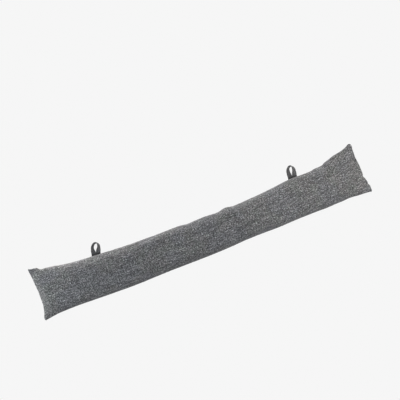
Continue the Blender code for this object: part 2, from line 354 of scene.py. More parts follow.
def coverRow(at, places):
    line = sectionLine(at, sectionThickness(at))
    lengths = lineLengths(line)
    wanted = places * lengths[-1] / (2 * cover["flatWidth"])
    across = np.interp(wanted, lengths, line[:, 0])
    z = np.interp(wanted, lengths, line[:, 1])
    sewn, folded = columnAt(at, 1), columnAt(at, 2)
    share = np.clip((sewn - across) / (sewn - folded), 0.0, 1.0)
    x = at + endOffset(at, share)
    hang, reach, start, full = cover["leftHang"]
    hang = hang * max(0.0, 1.0 - at / reach) ** 2 * smoothStep((share - start) / (full - start))
    above = z > edgeHeight(at)
    outY, outZ = across - (sewn + folded) / 2, cover["creasePress"] * (z - edgeHeight(at))
    size = np.hypot(outY, outZ) + 1e-9
    depth = np.where(above, creaseDepth(at, across), 0.0)
    across = across - outY / size * depth
    z = z - outZ / size * depth - hang
    return np.stack([x - cover["middleAt"], across - cover["middleAcross"], z], 1)


def coverGrid():
    places = girthPlaces()
    return np.array([coverRow(at, places) for at in rowPlaces()]), places


def coverMesh(grid, places):
    # the grid as a closed mesh, each end closed by a narrow strip with a row of points down its middle
    rows, columns = grid.shape[:2]
    half = columns // 2
    shape = bmesh.new()
    uvLayer = shape.loops.layers.uv.new("cloth")
    seamLine = shape.edges.layers.float.new("crease_edge")
    verts = [[shape.verts.new(p) for p in row] for row in grid]
    along = rowPlaces()
    cloth = np.zeros((rows, columns))  # length of the cloth itself along each column, for its weave
    cloth[1:] = np.cumsum(np.linalg.norm(np.diff(grid, axis=0), axis=2), axis=0)
    girthLength = 2 * cover["flatWidth"]

    def addFace(corners, uvs):
        face = shape.faces.new(corners)
        face.smooth = True
        for loop, uv in zip(face.loops, uvs):
            loop[uvLayer].uv = (uv[0] + uvMargin, uv[1] + uvMargin)

    for i in range(rows - 1):
        for j in range(columns):
            after = (j + 1) % columns
            vNear, vFar = places[j], places[j + 1] if j + 1 < columns else girthLength
            addFace(
                (verts[i][j], verts[i][after], verts[i + 1][after], verts[i + 1][j]),
                (
                    (cloth[i, j], vNear), (cloth[i, after], vFar),
                    (cloth[i + 1, after], vFar), (cloth[i + 1, j], vNear),
                ),
            )
    for i, inwards in ((0, 1.0), (rows - 1, -1.0)):
        row = verts[i]
        strip = {}
        for j in range(1, half):
            middle = (row[j].co + row[columns - j].co) / 2
            opening = (row[j].co - row[columns - j].co).length
            middle.x += inwards * min(cover["seamDepth"], opening * cover["lipDepth"])
            strip[j] = shape.verts.new(middle)
        for side in (1, -1):
            for j in range(half):
                a, b = row[side * j % columns], row[side * (j + 1) % columns]
                ua, ub = cloth[i, side * j % columns], cloth[i, side * (j + 1) % columns]
                lip = inwards * cover["seamLip"]
                va, vb = places[j], places[j + 1]
                if side < 0:
                    va, vb = girthLength - va, girthLength - vb
                corners = [(a, (ua, va)), (b, (ub, vb))]
                if j + 1 in strip:
                    corners.append((strip[j + 1], (ub - lip, vb)))
                if j in strip:
                    corners.append((strip[j], (ua - lip, va)))
                if (side > 0) == (inwards < 0):
                    corners.reverse()
                addFace(*zip(*corners))
    sharp, within = cover["foldCrease"]
    for i in range(rows - 1):
        shape.edges.get((verts[i][0], verts[i + 1][0]))[seamLine] = cover["seamCrease"]
        fold = shape.edges.get((verts[i][half], verts[i + 1][half]))
        fold[seamLine] = sharp * max(0.0, 1.0 - toNearEnd(along[i]) / within)
    for row in (verts[0], verts[-1]):
        for j in range(columns):
            shape.edges.get((row[j], row[(j + 1) % columns]))[seamLine] = cover["seamCrease"]
    return closedMesh(shape, "bolsterCover")


# Settling the cloth: it is cut a little longer than the form that the filling gives it, most of all along
# the seam and the fold. The slack cloth is drawn onto the filled form, and Blender's cloth gathers what is
# too long, held near the form by soft springs that stand for the filling.

settle = {
    "frames": 24,
    "drawnInBy": 10,  # frame at which the cloth has reached the filled form
    "quality": 6,
    "slackAtSeam": 0.026,  # how much too long the cloth is, as a share
    "slackOnTop": 0.008,
    "slackFade": 4,  # the higher, the closer the most slack is to the seam and the fold
    "tension": 15.0,
    "shear": 5.0,
    "bending": 0.0003,
    "mass": 0.002,
    "damping": 5.0,
    "fillingHold": 0.5,  # how firmly the filling holds the cloth, from 0 to 1
    "pinStiffness": 2.0,
    "lyingBelow": 0.0005,  # the cloth lies still under this height, and at the end seams
    "furthest": 0.0026,  # how far a point may move
    "furthestAtEdges": 0.0011,  # along the seam and the fold
    "edgeReach": 0.010,
}


def outwards(grid):
    # the way out of the tube at each point of the grid
    along = np.gradient(grid, axis=0)
    around = np.roll(grid, -1, axis=1) - np.roll(grid, 1, axis=1)
    out = np.cross(around, along)
    out /= np.maximum(np.linalg.norm(out, axis=2, keepdims=True), 1e-12)
    middle = grid.mean(axis=1, keepdims=True)
    flip = np.sign(((grid - middle) * out).sum(axis=(1, 2), keepdims=True))
    return out * np.where(flip < 0, -1.0, 1.0)


def fillUnevenly(grid):
    rows, columns = grid.shape[:2]
    height = np.zeros((rows, columns))
    for size, rise, run in cover["lumps"]:
        for i in range(rows):
            for j in range(columns):
                x, y, z = grid[i, j]
                height[i, j] += rise * noise.noise(Vector((x / run + 3.0, y, z)) / size)
    fromEnd, above = cover["lumpsFrom"]
    height *= smoothStep(toNearEnd(rowPlaces()) / fromEnd)[:, None]
    height *= smoothStep(grid[..., 2] / above)
    lower, reach = cover["lumpsAtEdges"]
    level = edgeHeight(rowPlaces())[:, None]
    height *= 1.0 - lower * np.exp(-((grid[..., 2] - level) / reach) ** 2)
    return grid + outwards(grid) * height[..., None]


def settleCloth(grid, places):
    rows, columns = grid.shape[:2]
    side = np.abs(np.cos(np.pi * places / cover["flatWidth"])) ** settle["slackFade"]
    slack = settle["slackOnTop"] + (settle["slackAtSeam"] - settle["slackOnTop"]) * side
    asCut = grid.copy()
    asCut[..., 0] *= 1.0 + slack[None, :]
    shape = bmesh.new()
    verts = [[shape.verts.new(p) for p in row] for row in asCut]
    for i in range(rows - 1):
        for j in range(columns):
            after = (j + 1) % columns
            shape.faces.new((verts[i][j], verts[i][after], verts[i + 1][after], verts[i + 1][j]))
    mesh = closedMesh(shape, "clothTrial")
    trial = meshObject("clothTrial", mesh)
    trial.shape_key_add(name="asCut")
    filled = trial.shape_key_add(name="filled")
    filled.data.foreach_set("co", grid.ravel())
    for value, step in ((0.0, 1), (1.0, settle["drawnInBy"])):
        filled.value = value
        filled.keyframe_insert("value", frame=step)

    fixed = grid[..., 2] < settle["lyingBelow"]
    fixed[0] = fixed[-1] = True
    number = np.arange(rows * columns).reshape(rows, columns)
    hold = trial.vertex_groups.new(name="hold")
    hold.add([int(k) for k in number[fixed]], 1.0, "REPLACE")
    hold.add([int(k) for k in number[~fixed]], settle["fillingHold"], "REPLACE")

    cloth = trial.modifiers.new("cloth", "CLOTH")
    s = cloth.settings
    s.quality = settle["quality"]
    s.mass = settle["mass"]
    s.tension_stiffness = s.compression_stiffness = settle["tension"]
    s.shear_stiffness = settle["shear"]
    s.bending_stiffness = settle["bending"]
    s.tension_damping = s.compression_damping = s.shear_damping = settle["damping"]
    s.vertex_group_mass = "hold"
    s.pin_stiffness = settle["pinStiffness"]
    s.effector_weights.gravity = 0.0
    cloth.collision_settings.use_collision = False
    cloth.point_cache.frame_start = 1
    cloth.point_cache.frame_end = settle["frames"]
    for step in range(1, settle["frames"] + 1):
        scene.frame_set(step)
    settled = trial.evaluated_get(bpy.context.evaluated_depsgraph_get())
    points = np.empty(rows * columns * 3)
    settled.data.vertices.foreach_get("co", points)
    scene.frame_set(1)
    motion = mesh.shape_keys.animation_data.action
    bpy.data.objects.remove(trial)
    bpy.data.meshes.remove(mesh)
    bpy.data.actions.remove(motion)

    move = points.reshape(rows, columns, 3) - grid
    size = np.linalg.norm(move, axis=2, keepdims=True)
    usual, most = float(np.median(size)) * 1000, float(size.max()) * 1000
    print("  cloth moved", round(usual, 2), "mm, at most", round(most, 2))
    level = edgeHeight(rowPlaces())[:, None]
    nearEdge = np.exp(-((grid[..., 2] - level) / settle["edgeReach"]) ** 2)[..., None]
    cap = settle["furthest"] + (settle["furthestAtEdges"] - settle["furthest"]) * nearEdge
    return grid + move * cap * np.tanh(size / cap) / np.maximum(size, 1e-9)


def alongNoise(along, often, row):
    # uneven values along the tube, other ones for each row of the noise
    return np.array([noise.noise(Vector((at * often, row, 0.0))) for at in along])[:, None]


def pressSeam(grid, places):
    # the groove of the long seam, with the seam allowance pressed to the upper side as a low uneven ridge
    along = rowPlaces()
    fromSeam = np.minimum(places, 2 * cover["flatWidth"] - places)[None, :]
    fade = smoothStep(toNearEnd(along) / cover["seamFade"])[:, None]
    wide = cover["seamWidth"]
    groove = cover["seamRoll"] * np.exp(-((fromSeam - cover["rollAt"] * wide) / wide) ** 2)
    groove = groove - cover["seamDepth"] * np.exp(-(fromSeam / (cover["grooveWidth"] * wide)) ** 2)
    (often, change), (liftOften, liftChange) = cover["widthChange"], cover["liftChange"]
    width = cover["allowance"] * (1.0 + change * alongNoise(along, often, 0.4))
    lift = cover["ridge"] * (1.0 + liftChange * alongNoise(along, liftOften, 7.4))
    rising, falling = cover["ridgeSlopes"]
    ridge = lift * (1.0 - smoothStep((fromSeam - width) / falling))
    onTop = np.where(places < cover["flatWidth"], 1.0, cover["ridgeUnder"])[None, :]
    ridge = ridge * onTop * smoothStep(fromSeam / rising)
    out = grid.copy()
    atEnds = cover["grooveAtEnds"]
    out[..., 1] += groove * (atEnds + (1.0 - atEnds) * fade)
    rise, wide, curled, reach = cover["curl"]
    curl = 1.0 - smoothStep((along - curled) / (reach - curled))
    out[..., 2] += rise * np.exp(-((fromSeam / wide) ** 2)) * curl[:, None]
    return out + outwards(grid) * (ridge * fade)[..., None]


def makeBolster():
    grid, places = coverGrid()
    grid = fillUnevenly(grid)
    grid = settleCloth(grid, places)
    grid = pressSeam(grid, places)
    grid[..., 2] = np.maximum(grid[..., 2], 0.0)
    piece = meshObject("bolster_cover", coverMesh(grid, places))
    smooth = piece.modifiers.new("smooth", "SUBSURF")
    smooth.levels = smooth.render_levels = 1
    applyAll(piece)
    points = readPoints(piece)
    points[:, 2] = np.maximum(points[:, 2], 0.0)
    writePoints(piece, points)
    return piece


bolster = makeBolster()
print("bolster modelled:", len(bolster.data.polygons), "faces")


# Hanging loops: woven tape, both ends side by side in the long seam, flat there and on edge at the top.

tape = {
    "width": 0.0120,
    "thickness": 0.0023,
    "inSeam": 0.0045,  # how far its ends run on into the seam
    "legHeight": 0.0200,
    "legsPart": 0.2,  # share of the legs' height where they begin to part and to twist
    "twist": 77.0,  # degrees, at the top of the loop
    "squareTurn": 0.5,  # how far the tape's width is turned square to its length, from 0 to 1
    "droop": 14.0,
    "legSteps": 26,
    "archSteps": 26,
    "edgeRound": 0.42,  # radius of the tape's long edges, as a share of its thickness
    "edgeSteps": 3,
    "faceSteps": 6,
    # half is how far the legs' middles stand out sideways, and the legs' twists are those at the top of
    # the left leg and of the right
    "loops": {
        "loop_left": {
            "at": 0.1759, "height": 0.0313, "lean": 12.5, "half": 0.0085, "legTwists": (60.0, 61.0),
        },
        "loop_right": {
            "at": 0.7158, "height": 0.0322, "lean": 8.5, "half": 0.0078, "legTwists": (42.0, 50.0),
        },
    },
}


def loopLine(s):
    # the tape's middle line as (sideways, height, twist)
    foot = tape["width"] / 2
    half, leg = s["half"], tape["legHeight"]
    legs = []
    for side, legTwist in zip((-1, 1), s["legTwists"]):
        points = [(side * foot, -tape["inSeam"] * part, 0.0) for part in (1.0, 0.5)]
        for step in range(tape["legSteps"]):
            share = step / tape["legSteps"]
            apart = float(smoothStep((share - tape["legsPart"]) / (1.0 - tape["legsPart"])))
            points.append((side * (foot + (half - foot) * apart), leg * share, legTwist * apart))
        legs.append(points)
    arch = []
    for step in range(tape["archSteps"] + 1):
        turn = math.pi * step / tape["archSteps"]
        first, last = s["legTwists"]
        legTwist = first + (last - first) * step / tape["archSteps"]
        twist = legTwist + (tape["twist"] - legTwist) * math.sin(turn)
        arch.append((-half * math.cos(turn), leg + (s["height"] - leg) * math.sin(turn), twist))
    return legs[0] + arch + legs[1][::-1]


def tapeSection():
    # across the tape: flat faces and rounded long edges, as (place across, place through)
    halfWidth, halfThick = tape["width"] / 2, tape["thickness"] / 2
    radius = tape["edgeRound"] * tape["thickness"]
    points = []
    for signAcross, signThrough, first in ((1, 1, 0), (-1, 1, 90), (-1, -1, 180), (1, -1, 270)):
        for step in range(tape["edgeSteps"] + 1):
            turn = math.radians(first + 90 * step / tape["edgeSteps"])
            points.append((
                signAcross * (halfWidth - radius) + radius * math.cos(turn),
                signThrough * (halfThick - radius) + radius * math.sin(turn),
            ))
        if signAcross == signThrough:
            inner = halfWidth - radius
            for step in range(1, tape["faceSteps"]):
                share = 1 - 2 * step / tape["faceSteps"]
                points.append((signAcross * inner * share, signThrough * halfThick))
    return points


def makeLoop(name):
    s = tape["loops"][name]
    at = s["at"]
    section = tapeSection()
    shape = bmesh.new()
    uvLayer = shape.loops.layers.uv.new("cloth")
    fromEnd = shape.verts.layers.float.new("fromEnd")
    line = loopLine(s)
    lean = math.tan(math.radians(s["lean"]))
    middles = [Vector((out + up * lean, up, 0.0)) for out, up, twist in line]
    runs = [0.0]
    for near, far in zip(middles, middles[1:]):
        runs.append(runs[-1] + (far - near).length)
    rows = []
    for index, (middle, (_, _, twist)) in enumerate(zip(middles, line)):
        before, after = middles[max(index - 1, 0)], middles[min(index + 1, len(middles) - 1)]
        ahead = (after - before).normalized()
        turn = math.radians(twist)
        across = Vector((-math.cos(turn), 0.0, math.sin(turn)))
        across = (across - ahead * across.dot(ahead) * tape["squareTurn"]).normalized()
        through = ahead.cross(across).normalized()
        rows.append([shape.verts.new(middle + across * a + through * b) for a, b in section])
        for vert in rows[-1]:
            vert[fromEnd] = min(runs[index], runs[-1] - runs[index]) - tape["inSeam"]
    count = len(section)
    for i in range(len(rows) - 1):
        for k in range(count):
            after = (k + 1) % count
            face = shape.faces.new((rows[i][k], rows[i][after], rows[i + 1][after], rows[i + 1][k]))
            face.smooth = True
            corners = ((i, k), (i, after), (i + 1, after), (i + 1, k))
            for loop, (r, g) in zip(face.loops, corners):
                loop[uvLayer].uv = (runs[r] + uvMargin, section[g][0] + uvMargin)
    for row in (rows[0], rows[-1]):
        shape.faces.new(row)
    slope = (columnAt(at + tape["width"], 1) - columnAt(at - tape["width"], 1)) / (2 * tape["width"])
    seat = Vector((at - cover["middleAt"], columnAt(at, 1) - cover["middleAcross"], edgeHeight(at)))
    turned = Matrix.Rotation(math.atan(slope), 4, "Z") @ Matrix.Rotation(-math.radians(tape["droop"]), 4, "X")
    bmesh.ops.transform(shape, matrix=Matrix.Translation(seat) @ turned, verts=shape.verts)
    return meshObject(name + "_tape", closedMesh(shape, name)), runs[-1]


loops = {}
for name in tape["loops"]:
    piece, length = makeLoop(name)
    loops[name] = (piece, length)
    print(name, "modelled: tape", round(length * 1000, 1), "mm long")


# Materials.

def newMaterial(name):
    material = bpy.data.materials.new(name)
    material.use_nodes = True
    return material, material.node_tree, material.node_tree.nodes["Principled BSDF"]


def addNode(tree, kind, **values):
    node = tree.nodes.new(kind)
    for key, value in values.items():
        setattr(node, key, value)
    return node


def feed(tree, node, **inputs):
    # sets or links a node's inputs by name, with underscores for spaces, or by number, as in i0
    for key, value in inputs.items():
        numbered = key[0] == "i" and key[1:].isdigit()
        socket = node.inputs[int(key[1:]) if numbered else key.replace("_", " ")]
        if isinstance(value, bpy.types.NodeSocket):
            tree.links.new(value, socket)
        else:
            socket.default_value = value
    return node


def mathNode(tree, operation, a, b=0.0, c=0.0):
    node = addNode(tree, "ShaderNodeMath", operation=operation)
    return feed(tree, node, i0=a, i1=b, i2=c).outputs[0]


def product(tree, *values):
    result = values[0]
    for value in values[1:]:
        result = mathNode(tree, "MULTIPLY", result, value)
    return result


def steps(tree, value, low, high, first=0.0, last=1.0):
    # the first number below the low value, the last one above the high value, smooth between them
    node = addNode(tree, "ShaderNodeMapRange", interpolation_type="SMOOTHSTEP")
    feed(tree, node, Value=value, From_Min=low, From_Max=high, To_Min=first, To_Max=last)
    return node.outputs[0]


def mixColour(tree, share, near, far):
    node = addNode(tree, "ShaderNodeMix", data_type="RGBA")
    return feed(tree, node, Factor=share, i6=near, i7=far).outputs[2]


def mixValue(tree, share, near, far):
    node = addNode(tree, "ShaderNodeMix", data_type="FLOAT")
    return feed(tree, node, Factor=share, i2=near, i3=far).outputs[0]


def toned(tree, colour, tone):
    node = addNode(tree, "ShaderNodeVectorMath", operation="SCALE")
    return feed(tree, node, i0=colour, Scale=tone).outputs[0]


def splitCloth(tree, vector):
    parts = feed(tree, addNode(tree, "ShaderNodeSeparateXYZ"), Vector=vector)
    return parts.outputs["X"], parts.outputs["Y"]


def joinCloth(tree, along, across):
    return feed(tree, addNode(tree, "ShaderNodeCombineXYZ"), X=along, Y=across).outputs[0]


def noiseNode(tree, vector, scale, detail=2.0):
    node = addNode(tree, "ShaderNodeTexNoise", noise_dimensions="2D")
    return feed(tree, node, Vector=vector, Scale=scale, Detail=detail).outputs["Fac"]


def centredNoise(tree, vector, scale, detail=2.0):
    return mathNode(tree, "SUBTRACT", noiseNode(tree, vector, scale, detail), 0.5)


def woolCells(tree, along, across):
    # random cells: how far a place is from its cell's middle, and two random numbers for each cell
    cells = addNode(tree, "ShaderNodeTexVoronoi", feature="F1", voronoi_dimensions="2D")
    feed(tree, cells, Vector=joinCloth(tree, along, across), Scale=1.0, Randomness=1.0)
    split = feed(tree, addNode(tree, "ShaderNodeSeparateColor"), Color=cells.outputs["Color"])
    return cells.outputs["Distance"], split.outputs[0], split.outputs[1]


def newGroup(name, inputs, outputs):
    # a shader node group; inputs are named with their starting values, and None stands for a vector
    tree = bpy.data.node_groups.new(name, "ShaderNodeTree")
    for label, value in inputs.items():
        kind = "NodeSocketVector" if value is None else "NodeSocketFloat"
        socket = tree.interface.new_socket(label, in_out="INPUT", socket_type=kind)
        if value is not None:
            socket.default_value = value
    for label in outputs:
        tree.interface.new_socket(label, in_out="OUTPUT", socket_type="NodeSocketFloat")
    return tree, addNode(tree, "NodeGroupInput").outputs, addNode(tree, "NodeGroupOutput").inputs


def useGroup(tree, group, cloth, **values):
    node = addNode(tree, "ShaderNodeGroup", node_tree=group)
    return feed(tree, node, Cloth=cloth, **values).outputs


fibres = {
    "slubScale": 170.0,  # of the thick and thin places in the yarns
    "crossing": 3.0,  # how sharply one yarn dips under the other
    "fuzzScale": 2400.0,  # of the loose fibres
    "fineDetail": 3.0,  # of the noise for fuzz and fray
    "frayScale": 900.0,  # of the ragged edges of specks
    "speckFray": (0.7, 0.5),  # how ragged they are along the tube and across it
    "speckSquash": 0.6,  # of the pattern along the tube, so that specks are longer that way
    "speckCore": 0.1,  # where a speck begins to fade, from its middle
}


def makeYarnTone():
    # tone of melange yarn: short dashes of light and dark wool, on cloth coordinates in metres
    inputs = {"Cloth": None, "Dash length": 0.005, "Dash width": 0.0022, "Contrast": 0.5}
    tree, given, result = newGroup("yarnTone", inputs, ("Tone", "Tint"))
    x, y = splitCloth(tree, given["Cloth"])
    along = mathNode(tree, "DIVIDE", x, given["Dash length"])
    across = mathNode(tree, "DIVIDE", y, given["Dash width"])
    _, chance, tint = woolCells(tree, along, across)
    power = mathNode(tree, "MULTIPLY", mathNode(tree, "SUBTRACT", chance, 0.5), given["Contrast"])
    tree.links.new(mathNode(tree, "EXPONENT", power), result["Tone"])
    tree.links.new(tint, result["Tint"])
    return tree


def makeWeave():
    # relief of a plain weave: warp across the tube, weft along it, both a little uneven, with wool fuzz
    inputs = {"Cloth": None, "Weft pitch": 0.0013, "Warp pitch": 0.0014, "Slubs": 0.3, "Fuzz": 0.3}
    tree, given, result = newGroup("weave", inputs, ("Height", "Weft on top"))
    slub = centredNoise(tree, given["Cloth"], fibres["slubScale"])
    shift = mathNode(tree, "MULTIPLY", slub, given["Slubs"])
    x, y = splitCloth(tree, given["Cloth"])
    x = mathNode(tree, "ADD", mathNode(tree, "DIVIDE", x, given["Warp pitch"]), shift)
    y = mathNode(tree, "ADD", mathNode(tree, "DIVIDE", y, given["Weft pitch"]), shift)
    warp = mathNode(tree, "SINE", mathNode(tree, "MULTIPLY", x, math.pi))
    weft = mathNode(tree, "SINE", mathNode(tree, "MULTIPLY", y, math.pi))
    crossing = mathNode(tree, "MULTIPLY", warp, weft)
    top = mathNode(tree, "MULTIPLY_ADD", crossing, fibres["crossing"], 0.5)
    top = feed(tree, addNode(tree, "ShaderNodeClamp"), Value=top).outputs[0]
    warp = mathNode(tree, "SQRT", mathNode(tree, "ABSOLUTE", warp))
    weft = mathNode(tree, "SQRT", mathNode(tree, "ABSOLUTE", weft))
    rounded = mathNode(tree, "MULTIPLY_ADD", mathNode(tree, "ABSOLUTE", crossing), 0.5, 0.5)
    height = mathNode(tree, "MULTIPLY", mixValue(tree, top, warp, weft), rounded)
    fuzz = centredNoise(tree, given["Cloth"], fibres["fuzzScale"], fibres["fineDetail"])
    tree.links.new(mathNode(tree, "MULTIPLY_ADD", fuzz, given["Fuzz"], height), result["Height"])
    tree.links.new(top, result["Weft on top"])
    return tree


def makeSpecks():
    # scattered specks: 1 inside a speck, 0 outside
    inputs = {"Cloth": None, "Spacing": 0.005, "Share": 0.01, "Size": 0.3, "Place": 0.0}
    tree, given, result = newGroup("specks", inputs, ("Speck",))
    fray = centredNoise(tree, given["Cloth"], fibres["frayScale"], fibres["fineDetail"])
    frayAlong, frayAcross = fibres["speckFray"]
    x, y = splitCloth(tree, given["Cloth"])
    x = mathNode(tree, "ADD", mathNode(tree, "DIVIDE", x, given["Spacing"]), given["Place"])
    x = mathNode(tree, "MULTIPLY", x, fibres["speckSquash"])
    x = mathNode(tree, "MULTIPLY_ADD", fray, frayAlong, x)
    y = mathNode(tree, "MULTIPLY_ADD", fray, frayAcross, mathNode(tree, "DIVIDE", y, given["Spacing"]))
    distance, chance, _ = woolCells(tree, x, y)
    chosen = mathNode(tree, "LESS_THAN", chance, given["Share"])
    inside = steps(tree, distance, fibres["speckCore"], given["Size"], 1.0, 0.0)
    tree.links.new(mathNode(tree, "MULTIPLY", chosen, inside), result["Speck"])
    return tree


def makeCloud():
    # slow change of tone over the cloth, from the wool and from handling; 1 is even
    inputs = {"Cloth": None, "Scale": 12.0, "Strength": 0.1}
    tree, given, result = newGroup("cloud", inputs, ("Cloud",))
    centred = centredNoise(tree, given["Cloth"], given["Scale"])
    tree.links.new(mathNode(tree, "MULTIPLY_ADD", centred, given["Strength"], 1.0), result["Cloud"])
    return tree


def makeGrain():
    # salt-and-pepper grain of mixed light and dark wool, drawn out a little along the tube
    inputs = {"Cloth": None, "Scale": 400.0, "Stretch": 1.5, "Contrast": 2.0}
    tree, given, result = newGroup("grain", inputs, ("Tone",))
    x, y = splitCloth(tree, given["Cloth"])
    drawn = joinCloth(tree, mathNode(tree, "DIVIDE", x, given["Stretch"]), y)
    centred = centredNoise(tree, drawn, given["Scale"], 0.0)
    power = mathNode(tree, "MULTIPLY", centred, given["Contrast"])
    tree.links.new(mathNode(tree, "EXPONENT", power), result["Tone"])
    return tree


yarnTone = makeYarnTone()
weave = makeWeave()
grain = makeGrain()
specks = makeSpecks()
cloud = makeCloud()


def dashes(tree, cloth, length, width, contrast):
    return useGroup(tree, yarnTone, cloth, Dash_length=length, Dash_width=width, Contrast=contrast)


def finishCloth(tree, shader, colour, height, s):
    # colour, roughness and relief of a woven cloth into its shader
    rough = addNode(tree, "ShaderNodeMapRange")
    feed(tree, rough, Value=height, From_Min=0.0, From_Max=1.0, To_Min=1.0, To_Max=s["roughness"])
    bump = addNode(tree, "ShaderNodeBump")
    feed(tree, bump, Height=height, Strength=s["relief"], Distance=s["reliefDepth"])
    feed(tree, shader, Base_Color=colour, Roughness=rough.outputs[0], Normal=bump.outputs[0])
    feed(tree, shader, Sheen_Weight=s["sheen"], Sheen_Roughness=s["sheenRoughness"])
    feed(tree, shader, Specular_IOR_Level=s["specular"])


tweed = {
    "blueGrey": (0.136, 0.139, 0.146, 1.0),
    "warmGrey": (0.147, 0.142, 0.139, 1.0),
    # patches where half of the wool is greener or more like slate: colour, scale, and the noise values
    # where a patch begins and is full
    "patches": (
        ((0.137, 0.147, 0.140, 1.0), 42.0, 0.42, 0.62),
        ((0.136, 0.139, 0.151, 1.0), 15.0, 0.46, 0.60),
    ),
    "lightWool": (0.36, 0.36, 0.35, 1.0),
    "darkWool": (0.032, 0.033, 0.036, 1.0),
    "tone": 0.752,  # of the whole cloth
    "weft": (0.0065, 0.0013, 0.8),  # length, width and contrast of the dashes in the yarns along the tube
    "warp": (0.0014, 0.0032, 0.8),  # and in those across it
    "tufts": (0.0014, 0.0013, 0.5),
    "streaks": (0.0120, 0.0025, 0.62),
    "slubs": 0.5,
    "fuzz": 0.5,
    "grain": (430.0, 1.5, 2.42),  # scale, stretch along the tube and contrast
    "cloudScale": 11.0,
    "cloudStrength": 0.16,
    "specks": (0.0052, 0.007, 0.30, 0.0),  # spacing, share, size and shift of the light specks
    "darkSpecks": (0.0047, 0.12, 0.34, 40.0),
    "gapShade": 0.30,  # how much darker it is between the yarns
    "stitch": 0.0030,  # length of a stitch in the seams
    "stitchReach": (0.0004, 0.0034),  # from the seam, where a stitch's dent is deepest and where it ends
    "stitchDepth": 1.6,  # of the dent, in heights of the weave
    "relief": 0.55,
    "reliefDepth": 0.0005,
    "roughness": 0.90,
    "specular": 0.2,
    "sheen": 0.35,
    "sheenRoughness": 0.4,
}


def seamPull(tree, cloth, s):
    # small dents along the long seam, one for each stitch
    x, y = splitCloth(tree, cloth)
    y = mathNode(tree, "SUBTRACT", y, uvMargin)
    fromSeam = mathNode(tree, "MINIMUM", y, mathNode(tree, "SUBTRACT", 2 * cover["flatWidth"], y))
    near = steps(tree, fromSeam, *s["stitchReach"], 1.0, 0.0)
    wave = mathNode(tree, "SINE", mathNode(tree, "MULTIPLY", x, math.pi / s["stitch"]))
    return product(tree, near, mathNode(tree, "ABSOLUTE", wave))


def makeTweed(s):
    material, tree, shader = newMaterial("tweed")
    cloth = addNode(tree, "ShaderNodeUVMap", uv_map="cloth").outputs[0]
    pitches = {"Weft_pitch": s["weft"][1], "Warp_pitch": s["warp"][0]}
    woven = useGroup(tree, weave, cloth, Slubs=s["slubs"], Fuzz=s["fuzz"], **pitches)
    yarns = [dashes(tree, cloth, *s[key]) for key in ("weft", "warp", "tufts", "streaks")]
    weft, warp, tufts, streaks = yarns
    yarn = mixValue(tree, woven["Weft on top"], warp["Tone"], weft["Tone"])
    scale, stretch, contrast = s["grain"]
    fine = useGroup(tree, grain, cloth, Scale=scale, Stretch=stretch, Contrast=contrast)["Tone"]
    slow = useGroup(tree, cloud, cloth, Scale=s["cloudScale"], Strength=s["cloudStrength"])["Cloud"]
    gaps = mathNode(tree, "MULTIPLY_ADD", woven["Height"], s["gapShade"], 1.0 - s["gapShade"] / 2)
    tone = product(tree, yarn, fine, tufts["Tone"], streaks["Tone"], slow, gaps, s["tone"])
    colour = mixColour(tree, tufts["Tint"], s["blueGrey"], s["warmGrey"])
    for wool, scale, begins, full in s["patches"]:
        patch = steps(tree, noiseNode(tree, cloth, scale, 1.0), begins, full)
        colour = mixColour(tree, patch, colour, mixColour(tree, 0.5, colour, wool))
    colour = toned(tree, colour, tone)
    for key, wool in (("specks", "lightWool"), ("darkSpecks", "darkWool")):
        spacing, share, size, shift = s[key]
        speck = useGroup(tree, specks, cloth, Spacing=spacing, Share=share, Size=size, Place=shift)
        colour = mixColour(tree, speck["Speck"], colour, s[wool])
    dents = seamPull(tree, cloth, s)
    height = mathNode(tree, "MULTIPLY_ADD", dents, -s["stitchDepth"], woven["Height"])
    finishCloth(tree, shader, colour, height, s)
    return material


tapeWeave = {
    "colour": (0.066, 0.067, 0.071, 1.0),
    # colour of the paler yarns, mixed in at random among the dashes
    "paleYarnAndFootShade": (0.105, 0.105, 0.108, 1.0),
    "rib": 0.0011,  # pitch of the ribs along the tape
    "yarn": 0.0008,  # width of a yarn
    "yarnContrast": 0.7,
    "slubs": 0.15,
    "fuzz": 0.35,
    "long": (0.009, 0.0016, 0.35),  # length, width and contrast of the long dashes
    "cloudScale": 90.0,
    "cloudStrength": 0.5,
    "selvedge": 0.0049,  # from the tape's middle to where its edges are woven double
    "selvedgeStep": 0.0003,
    "selvedgeShade": 0.22,  # how much darker the edges are
    "selvedgeRise": 0.5,  # and how much thicker, in heights of the weave
    "gapShade": 0.5,  # how much darker it is between the yarns
    "gapTone": 0.62,  # tone of the gaps themselves
    "footShadeLength": 0.0075,  # length beside the seam over which painted shade darkens the tape's feet, standing for the seam's shadow on them; the next number is the tape's tone at the seam
    "footShadeTone": 0.28,
    "relief": 0.8,
    "reliefDepth": 0.0004,
    "roughness": 0.85,
    "specular": 0.2,
    "sheen": 0.25,
    "sheenRoughness": 0.4,
}


